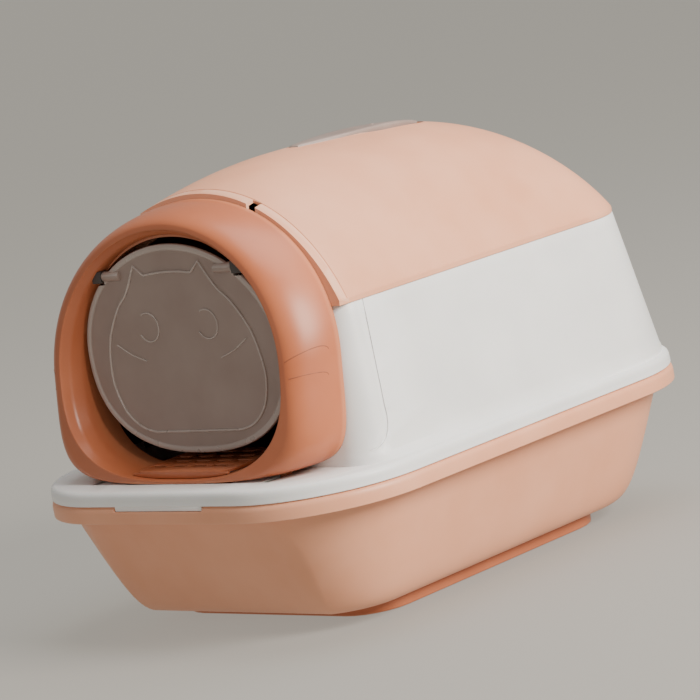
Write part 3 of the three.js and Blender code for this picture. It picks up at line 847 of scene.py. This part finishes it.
# The round-ended hollow on both sides of the handle that fingers reach into.
def fingerPocket(name, margin):
    y0, y1 = hood["pocketY"]
    middle, reach = (y0 + y1) / 2, (y1 - y0) / 2 + margin
    half = handle["half"] + hood["pocketGrow"] + margin
    line = []
    for angle in np.linspace(0, 2 * math.pi, 72, endpoint=False):
        cos, sin = math.cos(angle), math.sin(angle)
        line.append((half * math.copysign(abs(cos) ** 0.59, cos),
                     middle + reach * math.copysign(abs(sin) ** 0.59, sin)))
    low, high = hood["pocketZ"] - margin, 420
    centre = [(0, middle)] * len(line)
    return skin(name, [[(x, y, z) for x, y in outline] for outline, z in (
        (centre, low), (line, low), (line, high), (centre, high))])


# A small hook behind the inner edge of the arch, at an angle round the entrance.
def hookAt(turn):
    inner, outer = hood["hookReach"]
    half, (near, far) = hood["hookHalf"], hood["hookDepth"]
    piece = block("hook", (-half, near, inner), (half, far, outer), 0.6)
    cos, sin = math.cos(turn), math.sin(turn)
    for vertex in piece.data.vertices:
        x, y, z = vertex.co / mm
        height = hood["boreZ"] + z * sin + x * cos
        vertex.co = Vector((z * cos - x * sin, faceY + y + leanAt(height), height)) * mm
    return fixNormals(piece)


def makeHood():
    wall, frontY = hood["wall"], faceY - 30
    outside = domeSolid("hood_shell", 0, hoodZ, frontY)
    inside = domeSolid("hoodInside", wall, hoodZ - 1, frontY - 5)
    seatDepth = handle["thick"] - handle["proud"] + gap
    combine(inside, [fingerPocket("pocketWall", wall),
                     leafSolid("seatWall", hood["handlePlay"] + wall, -seatDepth - wall, 40)])
    bandBlock = leaningBlock("bandBlock", faceY - 2, faceY + wall)
    combine(inside, [bandBlock])
    piece = combine(outside, [inside])
    flange = skin("flange", [
        roundedLine(seamShape, hoodZ + z, inset)
        for inset, z in ((hood["flangeDepth"], 0), (0.5, 0), (0.5, 3), (hood["flangeDepth"], 3))
    ], loop=True)
    combine(piece, [flange], "UNION")
    tabs = []
    for side in (-1, 1):
        for y in hood["tabs"]:
            x0 = side * (halfAt(y) - hood["flangeDepth"] + 1)
            x1 = x0 - side * 2.4
            tabs.append(block("tab", (min(x0, x1), y - hood["tabHalf"], hoodZ - hood["tabDrop"]),
                              (max(x0, x1), y + hood["tabHalf"], hoodZ + 1), 0.4))
    combine(piece, tabs, "UNION")
    cutters = [leaningBlock("front", -400, faceY),
               bar("bore", hood["bore"], (0, faceY - 60, hood["boreZ"]),
                   (0, faceY + 22, hood["boreZ"]), 160),
               fingerPocket("pocket", 0),
               leafSolid("seat", hood["handlePlay"], -seatDepth, 40),
               block("latchSlot", (-5, 40, 340), (5, 44, 420))]
    # Two latch notches in the arch's outer edge.
    for side in (-1, 1):
        x, _, z = domePoint(side * 0.36, faceY)
        notch = block("notch", (x - 5, faceY - 5, z - 7), (x + 5, faceY + 22, z + 12))
        cutters.append(notch)
    combine(piece, cutters)
    combine(piece, [hookAt(math.radians(turn)) for turn in hood["hooks"]], "UNION")
    # A fine step line follows the arch behind its front edge, and another the seam lip.
    archLine = [domePoint(u, faceY + 9 + leanAt(domePoint(u, faceY)[2]), -0.3)
                for u in np.linspace(-1, 1, 90)]
    grooves = [bead("archGroove", archLine, 0.9)]
    for side in (-1, 1):
        lipLine = [(side * (halfAt(y) + 0.3), y, hoodZ + hood["lip"] + 0.8)
                   for y in np.linspace(faceY - 5, 160, 60)]
        grooves.append(bead("lipGroove", lipLine, 0.8))
    combine(piece, grooves)
    softenEdges(piece, 0.5, 45)
    smooth(piece, 32)
    finishWith(piece, "WEIGHTED_NORMAL", keep_sharp=True)  # keeps the arch's flat front flat
    place(piece, "hood", "hood", "peach_shell", [peach, peachPaintedShade])

    pocketMiddle = Vector((0, (hood["pocketY"][0] + hood["pocketY"][1]) / 2, hood["pocketZ"]))

    # Inner faces and the walls of the finger pocket take the peach with painted shade.
    def inPaintedShade(centre, normal):
        out = centre - Vector((0, 20, hoodZ - 40))
        sideways, along, below = hood["pocketZone"]
        nearPocket = abs(centre.x) < sideways and abs(centre.y - pocketMiddle.y) < along and (
            centre.z > hood["pocketZ"] - below)
        if nearPocket:
            away = normal.x * centre.x + normal.y * (centre.y - pocketMiddle.y)
            turnedIn = normal.z < -0.3 or (abs(normal.z) < 0.3 and away > 0 and (
                centre.z < hoodZ + riseAt(centre.y) - 8))
        else:
            turnedIn = normal.dot(out) < 0
        behindBand = centre.y - faceY - leanAt(centre.z) > 2.5
        return turnedIn and behindBand and centre.z > hoodZ + 3.5
    useSecondMaterialWhere(piece, inPaintedShade)


makeHood()
print("hood made")


def makeHandle():
    top, bottom = handle["proud"], handle["proud"] + gap - handle["thick"]
    middle = (handle["y"][0] + handle["y"][1]) / 2
    rows = []
    for inset, z in ((99, bottom), (3, bottom), (1.1, bottom + 0.3), (0.2, bottom + 1.3),
                     (0, bottom + 3), (0, top - 3.4), (0.3, top - 1.8), (1.2, top - 0.6),
                     (2.8, top - 0.1), (6, top + 0), (99, top)):
        line = leafLine(-min(inset, 3) if inset < 99 else 0)
        if inset == 99:
            line = [(0, mix(middle, y, 0.88)) for _, y in line]
        if inset == 6:
            line = [(x * 0.7, mix(middle, y, 0.93)) for x, y in line]
        rows.append([(x, y, hoodZ + riseAt(y) + z) for x, y in line])
    piece = skin("carry_handle_plate", rows)
    smooth(piece, 40)
    bumps = []
    for y, sink in handle["bumps"]:
        deselectAll()
        bpy.ops.mesh.primitive_uv_sphere_add(
            segments=24, ring_count=12, radius=handle["bumpRadius"] * mm,
            location=(0, y * mm, (hoodZ + riseAt(y) + top - sink) * mm))
        bpy.ops.object.transform_apply(location=True, rotation=True, scale=True)
        bumps.append(smooth(bpy.context.object, 60))
    piece = joined("carry_handle_plate", [piece] + bumps)
    place(piece, "carry_handle", "handle", "smoky_plastic", [smoky])


makeHandle()
print("handle made")

studio = {"floor": 60.0, "view": (44.95, 8.38), "roll": -11.24, "focalPx": 3456, "distance": 3.04,
          "target": (0.0, 0.0, 0.196), "paper": "#73706b", "glowColour": "#b5b1a7", "glow": 0.68,
          "air": "#d9d5cf", "airStrength": 0.5}
lightAim = (0, 0, 0.2)
lights = {
    "key": {"place": (2.5, 0.1, 1.5), "size": 1.2, "power": 132, "colour": "#fff8f0"},
    "top": {"place": (0.4, 0.5, 2.4), "size": 1.8, "power": 38, "colour": "#ffffff"},
    "fill": {"place": (-1.0, -2.6, 1.0), "size": 1.6, "power": 2.5, "colour": "#eef2ff"},
}


def makeStage():
    deselectAll()
    bpy.ops.mesh.primitive_plane_add(size=2 * studio["floor"], location=(0, 0, -0.0004))
    floor = bpy.context.object
    floor.name = "studio_floor"
    bpy.ops.object.transform_apply(location=True, rotation=True, scale=True)
    material = bpy.data.materials.new("matt studio paper")
    material.use_nodes = True
    shader = material.node_tree.nodes["Principled BSDF"]
    shader.inputs["Base Color"].default_value = linear(studio["paper"])
    shader.inputs["Roughness"].default_value = 0.9
    shader.inputs["Emission Color"].default_value = linear(studio["glowColour"])
    shader.inputs["Emission Strength"].default_value = studio["glow"]
    floor.data.materials.append(material)
    world = bpy.data.worlds.new("studio")
    world.use_nodes = True
    background = world.node_tree.nodes["Background"]
    background.inputs["Color"].default_value = linear(studio["air"])
    background.inputs["Strength"].default_value = studio["airStrength"]
    bpy.context.scene.world = world


def addLight(name, place, size, power, colour):
    light = bpy.data.lights.new(name, "AREA")
    light.shape = "RECTANGLE"
    light.size = light.size_y = size
    light.energy = power
    light.color = linear(colour)[:3]
    lamp = bpy.data.objects.new(name, light)
    bpy.context.collection.objects.link(lamp)
    lamp.location = place
    lamp.rotation_euler = (Vector(lightAim) - Vector(place)).to_track_quat("-Z", "Y").to_euler()


makeStage()
for lampName, lampSettings in lights.items():
    addLight(lampName, **lampSettings)


def makeCamera():
    turn, rise = (math.radians(value) for value in studio["view"])
    back = Vector((math.sin(turn) * math.cos(rise), -math.cos(turn) * math.cos(rise),
                   math.sin(rise)))
    target = Vector(studio["target"])
    data = bpy.data.cameras.new("camera")
    data.sensor_width = 36
    data.lens = studio["focalPx"] / 700 * data.sensor_width
    camera = bpy.data.objects.new("camera", data)
    bpy.context.collection.objects.link(camera)
    look = back.to_track_quat("Z", "Y").to_matrix()
    look = look @ Matrix.Rotation(math.radians(studio["roll"]), 3, "Z")
    camera.matrix_world = Matrix.Translation(target + back * studio["distance"]) @ look.to_4x4()
    bpy.context.scene.camera = camera


makeCamera()
